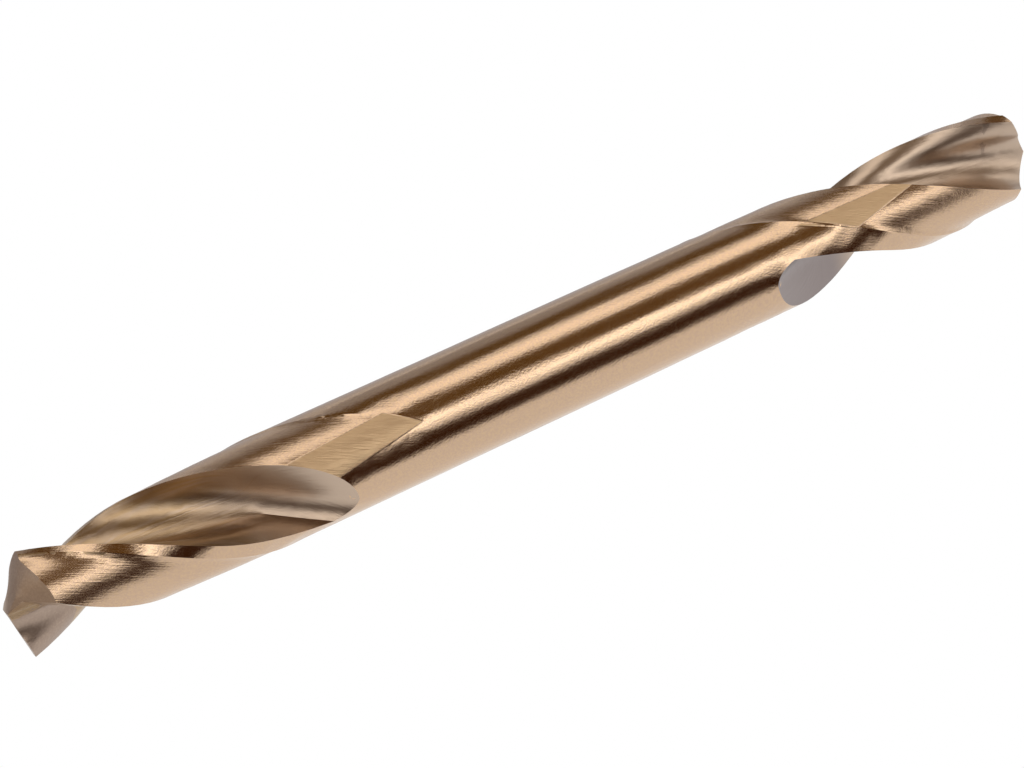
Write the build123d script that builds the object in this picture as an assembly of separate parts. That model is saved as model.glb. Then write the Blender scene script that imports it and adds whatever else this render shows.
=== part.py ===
# Double-ended twist drill, ground from one round bar of high-speed steel.
# The bar lies along X with the middle of its length at the origin, and +Z is up.
# Each end has two right-hand flutes, relieved lands and a split point.
# Both ends come from the same functions, in a frame of their own: the tip is at
# the origin, z runs into the bar, and angles turn as the helix does.
from build123d import *
from build123d.topology import SkipClean
from math import acos, asin, atan2, cos, degrees, hypot, pi, radians, sin, sqrt, tan
import os

# Bar
diameter = 6.0
length = 66.0
back_taper = 0.0004           # each end narrows towards the middle by this much of its length
grip_length = 17.0            # plain middle, which a chuck or collet grips
air = 0.4                     # how far a cut reaches out past the bar

# Flutes
flute_lead = 38.3             # travel of one full turn of the helix
near_reach = 12.95            # tip to the wheel's axis where its travel ends
far_reach = 14.65
near_phase = -29.6            # angle of the first cutting edge at the tip
far_phase = -26.0
lift_start = -3.0             # the wheel's run-out, along the bar from its last place
lift_end = 6.6
sweep_steps = 6               # sections along the helix, and along the run-out
lift_steps = 13
side_steps = 9                # points on each side of a section

# Grinding wheel that cuts a flute: a sharp rim between a straight flank, which
# leaves the rake face, and a rounded one, which leaves the floor and the heel
wheel_radius = 20.0
wheel_tilt = 31.1             # wheel plane to the drill's axis
core = 0.45                   # rim to the drill's axis, at the deepest point
wheel_offset = 0.29           # wheel set over towards the rake face
rake_flank = 43.7             # slope of each flank to the wheel's axis
heel_flank = 58.0
floor_radius = 1.5

# Relief ground on the lands, behind a narrow margin
relief_lead = 34.6
near_margin = 3.1             # angle of the margin at the tip
far_margin = 10.0
near_relief_reach = 23.3      # tip to the end of the relief
far_relief_reach = 24.4
heel_angle = 76.0             # margin to heel, where the heel's depth is measured
relief_span = 108.0           # margin to where the cut ends, out in the flute
step_depth = 0.075
step_taper = 0.008            # step gained for each mm towards the tip
step_fillet = 0.9
heel_depth = 0.30
heel_rise = 0.13              # how far the heel side lifts out at the end
heel_run = 7.0                # tip to where the heel side starts to lift
relief_fade = 7.4             # the step runs out over this length
relief_over = 0.25            # the cut's last section lies this far on
relief_lift = 0.02            # and this far off the bar
relief_steps = 6              # sections along the step, and along its fade

# Point: on each side a rounded flank behind the lip and a notch behind the
# flank, and at the near end a gash that takes the corner off the other heel.
# Slopes are from square to the axis.
near_lip_slope = 19.0
far_lip_slope = 23.0
flank_radius = 2.85
flank_ahead = 1.2             # the flank's wheel covers this far each side of the lip
flank_behind = 1.9
flank_over = 0.5              # and this far past the middle
near_notch_slope = 38.2
far_notch_slope = 42.5
notch_heading = 81.8          # way that the notch falls, from the lip's outer corner
chisel_edge = 0.66            # length of the edge left across the middle
point_tilt = 5.3              # the flanks and notches are ground this far out of true
gash_radius = 14.1
gash_slope = 38.7             # fall of the gash's floor, square to the lip
gash_across = 11.1            # gash wheel's axis from the drill's, along the lip
gash_below = -9.5             # and across its own floor
gash_turn = 44.0              # from the lip to the gash's wall at the web
gash_top = 9.0                # height of the gash, from the tip

bar_radius = diameter / 2


def turned(x, y, angle):
    """A point turned about the drill's axis, the angle in radians."""
    return x * cos(angle) - y * sin(angle), x * sin(angle) + y * cos(angle)


def rim_stations():
    """Stations across the wheel's rim: offset along its axis, depth below the rim, lean of the face."""
    heel, rake = radians(heel_flank), radians(rake_flank)
    arc_offset, arc_depth = floor_radius * sin(heel), floor_radius * (1 - cos(heel))
    reach = bar_radius + air - core
    flank = (reach - arc_depth) / sin(heel)
    heel_side = []
    for k in (4, 3, 2, 1):
        run = flank * k / 4
        heel_side.append((-arc_offset - run * cos(heel), arc_depth + run * sin(heel), -heel))
    for k in range(9):
        lean = heel * (1 - k / 8)
        heel_side.append((-floor_radius * sin(lean), floor_radius * (1 - cos(lean)), -lean))
    corner = [(0.0, 0.0, rake * k / 8) for k in range(9)]
    flank = reach / sin(rake)
    rake_side = [(flank * k / 6 * cos(rake), flank * k / 6 * sin(rake), rake) for k in range(1, 7)]
    return heel_side, corner + rake_side


def wheel_point(offset, depth, swing):
    """A point of the wheel, the swing measured from where it cuts deepest."""
    tilt, rho = radians(wheel_tilt), wheel_radius - depth
    along = rho * sin(swing)
    x = wheel_radius + core - rho * cos(swing)
    y = wheel_offset + offset * cos(tilt) + along * sin(tilt)
    z = along * cos(tilt) - offset * sin(tilt)
    return x, y, z


def contact_swing(offset, depth, lean):
    """Where a circle of the wheel touches the finished flute: its face then slides along the helix."""
    tilt, turn, rho = radians(wheel_tilt), 2 * pi / flute_lead, wheel_radius - depth
    centre = wheel_radius + core
    a = turn * (wheel_offset * cos(lean) + (offset * cos(lean) - rho * sin(lean)) * cos(tilt))
    b = cos(lean) * (cos(tilt) + turn * centre * sin(tilt))
    c = sin(lean) * (turn * centre * cos(tilt) - sin(tilt))
    return asin(-c / hypot(a, b)) - atan2(a, b)


def flute_point(station, z):
    """A point of the flute's surface at height z from the wheel's last place.

    Below the line of contact it is the helix that the wheel has swept, and
    above it the wheel's own circle, which is the flute's run-out.
    """
    offset, depth, lean = station
    x, y, touch = wheel_point(offset, depth, contact_swing(offset, depth, lean))
    if z <= touch:
        return turned(x, y, 2 * pi * (z - touch) / flute_lead)
    tilt, rho = radians(wheel_tilt), wheel_radius - depth
    swing = asin((z + offset * sin(tilt)) / (rho * cos(tilt)))
    return wheel_point(offset, depth, swing)[:2]


def spaced(points, count):
    """The same curve with its points evenly spaced."""
    runs = [hypot(b[0] - a[0], b[1] - a[1]) for a, b in zip(points, points[1:])]
    total, out, done, k = sum(runs), [points[0]], 0.0, 0
    for n in range(1, count):
        goal = total * n / count
        while done + runs[k] < goal:
            done, k = done + runs[k], k + 1
        share = (goal - done) / runs[k]
        out.append(tuple(a + (b - a) * share for a, b in zip(points[k], points[k + 1])))
    return out + [points[-1]]


def flute_section(z, height):
    """The flute's outline at height z from the wheel's last place, closed well outside the bar."""
    heel_side, rake_side = rim_stations()
    heel = spaced([flute_point(s, z) for s in heel_side], side_steps)
    rake = spaced([heel[-1]] + [flute_point(s, z) for s in rake_side[1:]], side_steps)
    middle = (heel[0][0] + rake[-1][0], heel[0][1] + rake[-1][1])
    swell = 2 * (bar_radius + air) / hypot(*middle)
    outside = (middle[0] * swell, middle[1] * swell)
    floor = Spline(*[(*p, height) for p in heel])
    face = Spline(*[(*p, height) for p in rake])
    cover = Polyline((*rake[-1], height), (*outside, height), (*heel[0], height))
    return Face(Wire([*floor.edges(), *face.edges(), *cover.edges()]))


def flute(reach):
    """The space of one flute, its cutting edge at angle 0 at the tip."""
    below = reach + air
    heights = [-below + (lift_start + below) * k / sweep_steps for k in range(sweep_steps)]
    heights += [lift_start + (lift_end - lift_start) * k / lift_steps for k in range(lift_steps + 1)]
    space = loft([flute_section(z, z + reach) for z in heights])
    return space.rotate(Axis.Z, -degrees(edge_angle()) + 360 * reach / flute_lead)


def edge_angle():
    """Angle of the cutting edge from the wheel's direction, on the bar's surface at the wheel's height."""
    low, high = 0.0, 1.0
    rake, reach, deep = radians(rake_flank), bar_radius + air - core, 10 * bar_radius
    for _ in range(40):
        share = (low + high) / 2
        depth = reach * share
        x, y = flute_point((depth / tan(rake), depth, rake), -deep)
        low, high = (share, high) if hypot(x, y) < bar_radius else (low, share)
    return atan2(y, x) + 2 * pi * deep / flute_lead


def step_down(z, reach):
    """Depth of the relief just behind the margin."""
    depth = step_depth + step_taper * max(0.0, reach - relief_fade - z)
    return depth * sqrt(max(0.0, 1 - (max(0.0, z - reach + relief_fade) / relief_fade) ** 2))


def relief_section(z, reach, lift):
    """The relief's outline at height z from the tip: a fillet at the step, then a face falling to the heel."""
    step = step_down(z, reach) - lift
    heel = heel_depth - (heel_depth + heel_rise) * max(0.0, z - heel_run) / (reach - heel_run)
    floor, cover = bar_radius - step, bar_radius + air
    run = sqrt(max(0.0, step_fillet**2 - (step_fillet - step) ** 2))
    start = run / floor

    def on_fillet(radius):
        """The fillet's point at a radius, as an angle from the step and that radius."""
        rise = floor + step_fillet
        swing = acos((rise**2 + radius**2 - step_fillet**2) / (2 * rise * radius))
        return start - swing, radius

    span = radians(relief_span)
    fall = (heel - step) / (radians(heel_angle) - start)
    face = [(start + (span - start) * k / 4, floor - fall * (span - start) * k / 4) for k in range(5)]
    turn = 2 * pi * z / relief_lead
    fillet = [on_fillet(cover), on_fillet((floor + cover) / 2), face[0]]

    def placed(points):
        return [(r * cos(a + turn), r * sin(a + turn), z) for a, r in points]

    over = [(span + (fillet[0][0] - span) * k / 2, cover) for k in range(3)]
    edges = [
        ThreePointArc(*placed(fillet)),
        Spline(*placed(face)),
        Line(*placed([face[-1], over[0]])),
        ThreePointArc(*placed(over)),
    ]
    return Face(Wire([e for line in edges for e in line.edges()]))


def relief(reach):
    """The thin space ground off one land, its step at angle 0 at the tip."""
    start, fade_start = -air, reach - relief_fade
    heights = [start + (fade_start - start) * k / relief_steps for k in range(relief_steps)]
    heights += [fade_start + relief_fade * sin(pi / 2 * k / relief_steps) for k in range(relief_steps + 1)]
    sections = [relief_section(z, reach, 0.0) for z in heights]
    return loft(sections + [relief_section(reach + relief_over, reach, relief_lift)])


def face_cut(slope, heading, setback):
    """All that lies on the tip's side of one flat face of the point."""
    side = 6 * bar_radius
    below = Pos(0, 0, -side / 2) * Box(side, side, side)
    return Pos(0, 0, -setback) * Rot(0, 0, heading) * Rot(0, -slope, 0) * below


def flank_cut(lip_slope):
    """All that lies outside one rounded flank, its lip along X."""
    side, lean = 2 * bar_radius, radians(lip_slope)
    block = Box(side, flank_behind + flank_ahead, side)
    block = Pos(side / 2 - flank_over, (flank_behind - flank_ahead) / 2, 0) * block
    ridge = Plane(origin=(0, 0, flank_radius / cos(lean)), z_dir=(cos(lean), 0, sin(lean)))
    return block - ridge.location * Cylinder(flank_radius, 3 * side)


def gash_cut():
    """The gash in front of one lip: down to the web, and off the corner of the heel across from it."""
    reach, start, slope = 2 * bar_radius, chisel_edge / 2, radians(gash_slope)
    side = start + reach * tan(radians(gash_turn))
    outline = make_face(Polyline((-reach, start), (0, start), (reach, side), (-reach, side), close=True))
    prism = Pos(0, 0, -air) * extrude(outline, air + gash_top)
    centre = (gash_across, gash_below * sin(slope), -gash_below * cos(slope))
    wheel = Plane(origin=centre, x_dir=(1, 0, 0), z_dir=(0, cos(slope), sin(slope)))
    return prism - wheel.location * Cylinder(gash_radius, 8 * reach)


def end_cuts(flute_reach, phase, margin, relief_reach):
    """The flutes and the relief of one end, in that end's frame."""
    one_side = [flute(flute_reach), Rot(0, 0, margin) * relief(relief_reach)]
    return [Rot(0, 0, phase + turn) * cut for turn in (0, 180) for cut in one_side]


def lip_turn(phase, lip_slope):
    """Turn that brings a lip to its cutting edge where the two meet, below the tip."""
    return phase + 360 * tan(radians(lip_slope)) * bar_radius / flute_lead


def point_cuts(phase, lip_slope, notch_slope):
    """The flanks and notches of one point, in that end's frame."""
    setback = chisel_edge / 2 * tan(radians(notch_slope)) * sin(radians(notch_heading))
    faces = [flank_cut(lip_slope), face_cut(notch_slope, notch_heading, setback)]
    tilted = Rot(0, 0, lip_turn(phase, lip_slope)) * Rot(0, -point_tilt, 0)
    return [tilted * Rot(0, 0, turn) * cut for turn in (0, 180) for cut in faces]


near_end = Plane(origin=(-length / 2, 0, 0), x_dir=(0, 0, 1), z_dir=(1, 0, 0))
far_end = Plane(origin=(length / 2, 0, 0), x_dir=(0, 0, 1), z_dir=(-1, 0, 0))

# The bar: a plain middle, and two ends that narrow towards it
end_length = (length - grip_length) / 2
grip_radius = bar_radius - back_taper * end_length
bar = Cylinder(grip_radius, grip_length)
for turn in (0, 180):
    end = Pos(0, 0, (grip_length + end_length) / 2) * Cone(grip_radius, bar_radius, end_length)
    bar += Rot(turn, 0, 0) * end
bar = Rot(0, 90, 0) * bar
near_cuts = end_cuts(near_reach, near_phase, near_margin, near_relief_reach)
near_cuts += point_cuts(near_phase, near_lip_slope, near_notch_slope)
near_cuts += [Rot(0, 0, lip_turn(near_phase, near_lip_slope) + turn) * gash_cut() for turn in (0, 180)]
far_cuts = end_cuts(far_reach, far_phase, far_margin, far_relief_reach)
far_cuts += point_cuts(far_phase, far_lip_slope, far_notch_slope)
with SkipClean():
    for frame, cuts in ((near_end, near_cuts), (far_end, far_cuts)):
        for cut in cuts:
            bar = bar - frame.location * cut

drill = bar.solid()
os.makedirs("parts", exist_ok=True)
export_step(drill, "parts/drill_bit.step")
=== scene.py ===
from math import cos, pi, radians, sin

import bmesh
import bpy
from mathutils import Euler, Matrix, Vector


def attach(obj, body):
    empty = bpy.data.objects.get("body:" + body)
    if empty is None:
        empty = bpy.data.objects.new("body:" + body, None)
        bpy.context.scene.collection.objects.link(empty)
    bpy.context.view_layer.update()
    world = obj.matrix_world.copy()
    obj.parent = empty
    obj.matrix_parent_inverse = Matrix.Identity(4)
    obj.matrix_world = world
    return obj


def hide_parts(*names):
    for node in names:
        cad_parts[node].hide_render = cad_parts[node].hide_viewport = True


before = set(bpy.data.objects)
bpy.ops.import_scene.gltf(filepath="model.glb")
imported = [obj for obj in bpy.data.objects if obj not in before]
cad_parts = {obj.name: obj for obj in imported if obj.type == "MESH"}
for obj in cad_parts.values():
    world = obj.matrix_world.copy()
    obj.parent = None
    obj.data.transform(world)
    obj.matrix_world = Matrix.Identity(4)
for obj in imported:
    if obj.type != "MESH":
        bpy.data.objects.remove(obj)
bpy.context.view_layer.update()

# The drill: one bar of high-speed steel, fluted, relieved and pointed at both
# ends by grinding wheels, then tempered to a bronze tint. It is a copy of the
# part's own solid, with its flutes and lands smoothed between the ground edges.
drill_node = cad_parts["drill_bit"]
bar_radius = 0.003
half_length = 0.033
same_place = 2e-7
smooth_up_to = 22
longest_edge = 0.0004
plain_middle = 0.0085

drill = drill_node.copy()
drill.data = drill_node.data.copy()
drill.name = "drill_skin"
bpy.context.scene.collection.objects.link(drill)
skin = bmesh.new()
skin.from_mesh(drill.data)
bmesh.ops.remove_doubles(skin, verts=skin.verts, dist=same_place)
for face in skin.faces:
    face.smooth = True
for edge in skin.edges:
    if len(edge.link_faces) == 2:
        edge.smooth = edge.calc_face_angle(0) < radians(smooth_up_to)
for _ in range(2):
    long_edges = [edge for edge in skin.edges
                  if edge.calc_length() > longest_edge and abs(edge.verts[0].co.x) > plain_middle]
    bmesh.ops.subdivide_edges(skin, edges=long_edges, cuts=1)
    bmesh.ops.triangulate(skin, faces=skin.faces)
    inner = [edge for edge in skin.edges if edge.smooth and len(edge.link_faces) == 2]
    bmesh.ops.beautify_fill(skin, faces=skin.faces, edges=inner, method="ANGLE")
ground = [vert for vert in skin.verts
          if all(edge.smooth for edge in vert.link_edges) and abs(vert.co.x) > plain_middle]
for _ in range(3):
    bmesh.ops.smooth_vert(skin, verts=ground, factor=0.5, use_axis_x=True, use_axis_y=True, use_axis_z=True)
skin.to_mesh(drill.data)
skin.free()
drill.data.materials.clear()


def add(nodes, kind, **settings):
    """A shader node with its settings."""
    node = nodes.new("ShaderNode" + kind)
    for key, value in settings.items():
        setattr(node, key, value)
    return node


def calc(tree, operation, *values):
    """The result of one sum on sockets and numbers."""
    node = add(tree.nodes, "Math", operation=operation)
    for slot, value in zip(node.inputs, values):
        if isinstance(value, (int, float)):
            slot.default_value = value
        else:
            tree.links.new(value, slot)
    return node.outputs[0]


def ramp(tree, value, start, end):
    """0 below start and 1 past end, smooth between; start may lie past end."""
    node = add(tree.nodes, "MapRange", interpolation_type="SMOOTHSTEP")
    tree.links.new(value, node.inputs["Value"])
    node.inputs["From Min"].default_value = min(start, end)
    node.inputs["From Max"].default_value = max(start, end)
    node.inputs["To Min"].default_value = 0.0 if start < end else 1.0
    node.inputs["To Max"].default_value = 1.0 if start < end else 0.0
    return node.outputs["Result"]


def round_the_bar(tree):
    """Place on the bar: x along it, the angle about it from straight up, and the radius."""
    place = add(tree.nodes, "TexCoord").outputs["Object"]
    parts = add(tree.nodes, "SeparateXYZ")
    tree.links.new(place, parts.inputs[0])
    x, y, z = parts.outputs
    angle = calc(tree, "ARCTAN2", y, z)
    radius = calc(tree, "SQRT", calc(tree, "ADD", calc(tree, "POWER", y, 2.0), calc(tree, "POWER", z, 2.0)))
    return place, x, angle, radius


def noise(tree, place, scale, detail):
    """Even noise from 0 to 1."""
    node = add(tree.nodes, "TexNoise")
    tree.links.new(place, node.inputs["Vector"])
    node.inputs["Scale"].default_value = scale
    node.inputs["Detail"].default_value = detail
    return node.outputs["Fac"]


def streaks(tree, x, angle, along, scale):
    """Noise drawn out along the helix, as a wheel leaves it."""
    helix = calc(tree, "ADD", angle, calc(tree, "MULTIPLY", x, 2 * pi / helix_lead))
    place = add(tree.nodes, "CombineXYZ")
    tree.links.new(calc(tree, "MULTIPLY", helix, bar_radius), place.inputs["X"])
    tree.links.new(calc(tree, "MULTIPLY", x, along), place.inputs["Y"])
    return noise(tree, place.outputs[0], scale, 3.0)


def bump(tree, shader, height, depth):
    """Relief of one depth in metres on the whole surface."""
    node = add(tree.nodes, "Bump")
    node.inputs["Strength"].default_value = 1.0
    node.inputs["Distance"].default_value = depth
    tree.links.new(height, node.inputs["Height"])
    tree.links.new(node.outputs["Normal"], shader.inputs["Normal"])


def blend(tree, first, second, share):
    """A colour between two, each a tint or a socket."""
    mix = add(tree.nodes, "Mix", data_type="RGBA")
    for name, colour in (("A", first), ("B", second)):
        if isinstance(colour, tuple):
            mix.inputs[name].default_value = (*colour, 1.0)
        else:
            tree.links.new(colour, mix.inputs[name])
    tree.links.new(share, mix.inputs["Factor"])
    return mix.outputs["Result"]


def steel(name):
    """Bare steel on the drill; its tint and grinding marks come from its own section, and so do the painted
    highlight on the outside facets and the painted shade on the points.
    """
    paint = bpy.data.materials.new(name)
    paint.use_nodes = True
    shader = paint.node_tree.nodes["Principled BSDF"]
    shader.inputs["Metallic"].default_value = 1.0
    drill.data.materials.append(paint)
    return paint.node_tree, shader


def above(tree, x, angle, line):
    """1 on the higher side of a line on the unrolled bar.

    The line is given by a point, in mm and degrees, and its slope in degrees for each mm.
    """
    place_x, place_angle, slope = line
    edge = calc(tree, "MULTIPLY_ADD", x, radians(slope) * 1000, radians(place_angle - slope * place_x))
    return ramp(tree, calc(tree, "SUBTRACT", angle, edge), -line_softness, line_softness)


def below(tree, x, angle, line):
    """1 on the lower side of such a line."""
    return calc(tree, "SUBTRACT", 1.0, above(tree, x, angle, line))


def all_of(tree, first, *others):
    """1 only where all of the shares are."""
    for share in others:
        first = calc(tree, "MULTIPLY", first, share)
    return first


helix_lead = 0.0383
grain_size = 9000
line_softness = 0.02
bronze, grey_bronze, brown_bronze = (0.56, 0.395, 0.275), (0.50, 0.385, 0.295), (0.42, 0.285, 0.155)
golden_highlight_and_fleck, bare_grey, point_shade_brown = (0.64, 0.45, 0.27), (0.27, 0.225, 0.215), (0.36, 0.27, 0.215)
margin_radius, land_radius = 0.002982, 0.002945

tree, shader = steel("ground_outside")
place, x, angle, radius = round_the_bar(tree)
relieved = ramp(tree, radius, margin_radius, land_radius)
grain = noise(tree, place, grain_size, 4.0)
brushed = streaks(tree, x, angle, 0.04, 11000)
# The two run-out facets near the ends: their rougher, deeper brushing is real, and their golden colour is a
# painted highlight, the bright band the bar reflects laid on as colour.
near_highlit_facet = all_of(
    tree,
    below(tree, x, angle, (-14.6, -20.0, 1.37)),
    below(tree, x, angle, (-11.64, -15.9, -14.1)),
    above(tree, x, angle, (-14.98, -57.0, 3.15)),
    ramp(tree, x, -0.0185, -0.0165),
)
far_highlit_facet = all_of(
    tree,
    below(tree, x, angle, (18.0, -17.0, 0.0)),
    above(tree, x, angle, (18.76, -46.6, 4.2)),
    above(tree, x, angle, (15.28, -17.1, -8.48)),
    ramp(tree, radius, 0.002990, 0.002980),
)
highlit_facet = calc(tree, "ADD", near_highlit_facet, far_highlit_facet)
finish = calc(tree, "MULTIPLY_ADD", relieved, 0.07, calc(tree, "MULTIPLY_ADD", highlit_facet, 0.20, 0.16))
tree.links.new(calc(tree, "MULTIPLY_ADD", brushed, 0.06, finish), shader.inputs["Roughness"])
brush_depth = calc(tree, "MULTIPLY_ADD", relieved, 1.0, calc(tree, "MULTIPLY_ADD", highlit_facet, 3.5, 0.1))
height = calc(tree, "ADD", calc(tree, "MULTIPLY", grain, 0.9), calc(tree, "MULTIPLY", brushed, brush_depth))
bump(tree, shader, height, 9e-6)
# Golden flecks of random tone, mixed here with the painted highlight on the facets.
fleck = ramp(tree, grain, 0.62, 0.36)
highlight_and_fleck_share = calc(tree, "MAXIMUM", highlit_facet, calc(tree, "MULTIPLY", fleck, 0.5))
tree.links.new(blend(tree, bronze, golden_highlight_and_fleck, highlight_and_fleck_share), shader.inputs["Base Color"])

tree, shader = steel("ground_flutes")
place, x, angle, radius = round_the_bar(tree)
grain = noise(tree, place, grain_size, 4.0)
brushed = streaks(tree, x, angle, 0.03, 9000)
tree.links.new(calc(tree, "MULTIPLY_ADD", brushed, 0.14, 0.26), shader.inputs["Roughness"])
height = calc(tree, "ADD", calc(tree, "MULTIPLY", grain, 0.5), calc(tree, "MULTIPLY", brushed, 1.2))
bump(tree, shader, height, 9e-6)
off_near_tip = calc(tree, "MULTIPLY", ramp(tree, x, -0.024, -0.015), 0.5)
grey_share = ramp(tree, calc(tree, "ADD", brushed, off_near_tip), 0.3, 0.8)
far_scoop = all_of(tree, ramp(tree, x, 0.009, 0.012), ramp(tree, x, 0.0215, 0.0185))
colour = blend(tree, blend(tree, brown_bronze, grey_bronze, grey_share), bare_grey, far_scoop)
tree.links.new(colour, shader.inputs["Base Color"])

# The points material: its roughness and random grain are real, and its darker brown is painted shade for
# faces that reflect the dark table and camera side.
tree, shader = steel("ground_points_painted_shade")
place, x, angle, radius = round_the_bar(tree)
grain = noise(tree, place, grain_size, 4.0)
shader.inputs["Roughness"].default_value = 0.36
bump(tree, shader, grain, 5e-6)
colour = blend(tree, point_shade_brown, grey_bronze, ramp(tree, grain, 0.3, 1.2))
tree.links.new(colour, shader.inputs["Base Color"])

outside, flutes, points = range(3)
near_point_length, far_point_length = 0.0045, 0.0032
# Faces at the points that turn to the tip, and the inner faces on one side of each point, take the points
# material and its painted shade.
for face in drill.data.polygons:
    centre, normal = face.center, face.normal
    outward = Vector((0, centre.y, centre.z)).normalized().dot(normal)
    reach = max(Vector(drill.data.vertices[v].co[1:]).length for v in face.vertices)
    at_point = centre.x < near_point_length - half_length or centre.x > half_length - far_point_length
    faces_the_tip = abs(normal.x) > 0.55
    on_shaded_face = centre.x * centre.z > 0.4 * centre.x * centre.y > 0 and outward < 0.8
    if at_point and (faces_the_tip or on_shaded_face):
        face.material_index = points
    elif outward > 0.85 and reach > 0.88 * bar_radius:
        face.material_index = outside
    else:
        face.material_index = flutes
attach(drill, "root")
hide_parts("drill_bit")

# The table: a plain white sheet that the drill lies on, seen as pure white.
# The drill touches it along the underside of the bar.


def shown_white(tree):
    """1 for what the camera sees, straight or in the metal, and 0 for the light on the object."""
    path = add(tree.nodes, "LightPath")
    seen = calc(tree, "MAXIMUM", path.outputs["Is Camera Ray"], path.outputs["Is Glossy Ray"])
    return calc(tree, "MAXIMUM", seen, path.outputs["Is Transmission Ray"])


sheet = bmesh.new()
bmesh.ops.create_grid(sheet, x_segments=1, y_segments=1, size=1.2)
bmesh.ops.translate(sheet, verts=sheet.verts, vec=(0, 0, -bar_radius))
sheet_mesh = bpy.data.meshes.new("table_sheet")
sheet.to_mesh(sheet_mesh)
sheet.free()
table = bpy.data.objects.new("table_sheet", sheet_mesh)
bpy.context.scene.collection.objects.link(table)
white = bpy.data.materials.new("white_sheet")
white.use_nodes = True
nodes, links = white.node_tree.nodes, white.node_tree.links
shader = nodes["Principled BSDF"]
shader.inputs["Base Color"].default_value = (0.84, 0.83, 0.88, 1.0)
shader.inputs["Roughness"].default_value = 0.9
glow = add(nodes, "Emission")
glow.inputs["Strength"].default_value = 1.0
mix = add(nodes, "MixShader")
links.new(shown_white(white.node_tree), mix.inputs["Fac"])
links.new(shader.outputs["BSDF"], mix.inputs[1])
links.new(glow.outputs["Emission"], mix.inputs[2])
links.new(mix.outputs["Shader"], nodes["Material Output"].inputs["Surface"])
table.data.materials.append(white)

# Light: a white room, two long soft boxes over the bar, and dark cards between
# them that give the steel its bands. Flat cards on the table and beyond the near
# tip darken or warm what the points and the back of the bar reflect.
world = bpy.data.worlds.new("room")
bpy.context.scene.world = world
world.use_nodes = True
nodes, links = world.node_tree.nodes, world.node_tree.links
world_shader = nodes["Background"]
world_shader.inputs["Color"].default_value = (1, 1, 1, 1)
level = add(nodes, "Mix", data_type="FLOAT")
level.inputs["A"].default_value = 0.7
level.inputs["B"].default_value = 1.0
links.new(shown_white(world.node_tree), level.inputs["Factor"])
links.new(level.outputs["Result"], world_shader.inputs["Strength"])


camera_side = 49.6


def light_card(name, shape, colour, strength, lights_sheet):
    """A glowing card that only the metal shows, and the table too if it lights the sheet."""
    mesh = bpy.data.meshes.new(name)
    shape.to_mesh(mesh)
    shape.free()
    held = bpy.data.objects.new(name, mesh)
    bpy.context.scene.collection.objects.link(held)
    paint = bpy.data.materials.new(name)
    paint.use_nodes = True
    tree = paint.node_tree
    tree.nodes.remove(tree.nodes["Principled BSDF"])
    emission = add(tree.nodes, "Emission")
    emission.inputs["Color"].default_value = (*colour, 1.0)
    emission.inputs["Strength"].default_value = strength
    tree.links.new(emission.outputs["Emission"], tree.nodes["Material Output"].inputs["Surface"])
    mesh.materials.append(paint)
    held.visible_camera = False
    held.visible_diffuse = lights_sheet
    held.visible_shadow = False


def long_card(name, start, end, colour, strength, distance=0.5, shift=0.2, length=1.2):
    """A long strip parallel to the bar, between two angles about it from the camera's side."""
    strip = bmesh.new()
    steps = 6
    arc = []
    for k in range(steps + 1):
        angle = radians(camera_side) + radians(start + (end - start) * k / steps)
        arc.append(strip.verts.new((shift - length / 2, -distance * cos(angle), distance * sin(angle))))
    edges = [strip.edges.new(pair) for pair in zip(arc, arc[1:])]
    drawn = bmesh.ops.extrude_edge_only(strip, edges=edges)["geom"]
    drawn = [item for item in drawn if isinstance(item, bmesh.types.BMVert)]
    bmesh.ops.translate(strip, verts=drawn, vec=(length, 0, 0))
    light_card(name, strip, colour, strength, True)


def flat_card(name, low_corner, high_corner, colour, strength):
    """A flat card between two opposite corners: lying on the table, or standing square to the bar."""
    low_corner, high_corner = Vector(low_corner), Vector(high_corner)
    size, middle = high_corner - low_corner, (high_corner + low_corner) / 2
    sheet = bmesh.new()
    bmesh.ops.create_grid(sheet, x_segments=1, y_segments=1, size=0.5)
    if size.x == 0:
        bmesh.ops.rotate(sheet, verts=sheet.verts, matrix=Matrix.Rotation(pi / 2, 3, "Y"))
    bmesh.ops.scale(sheet, verts=sheet.verts, vec=size)
    bmesh.ops.translate(sheet, verts=sheet.verts, vec=middle)
    light_card(name, sheet, colour, strength, False)


long_card("dark_card_front", -58, -22, (0.045, 0.014, 0.002), 1.0, distance=0.03, shift=0.0, length=0.1)
long_card("soft_box_front", -12, -1, (1.0, 0.98, 0.94), 2.5)
long_card("brown_card_top", 4, 38, (0.13, 0.063, 0.008), 1.0)
long_card("soft_box_top", 43, 63, (1.0, 0.95, 0.88), 1.6)
long_card("brown_card_back", 71, 98, (0.13, 0.07, 0.016), 1.0)
long_card("grey_card_back", 98, 126, (0.38, 0.37, 0.38), 1.0)

on_table = 0.0002 - bar_radius
flat_card("grey_card_end", (-0.056, -0.12, on_table), (-0.037, 0.3, on_table), (0.30, 0.25, 0.225), 1.0)
flat_card("gold_card_end", (-0.12, -0.12, on_table), (-0.056, 0.3, on_table), (1.0, 0.82, 0.55), 1.1)
flat_card("grey_card_low", (-0.3, 0.008, on_table), (0.4, 0.5, on_table), (0.52, 0.51, 0.53), 1.0)
flat_card("brown_card_end", (-0.32, -0.3, 0.05), (-0.32, 0.3, 0.4), (0.16, 0.10, 0.05), 1.0)

# The camera: in front of the bar and above its near point, as the picture was
# taken, with a long lens.
camera_data = bpy.data.cameras.new("camera")
camera_data.lens = 89.3
camera_data.sensor_width = 36.0
camera = bpy.data.objects.new("camera", camera_data)
camera.location = (-0.0566607, -0.0817252, 0.0960268)
camera.rotation_euler = Euler((radians(45.4013), radians(-0.0101), radians(-33.2387)))
camera_data.clip_start = 0.005
bpy.context.scene.collection.objects.link(camera)
bpy.context.scene.camera = camera

bpy.context.scene.view_settings.view_transform = "Standard"
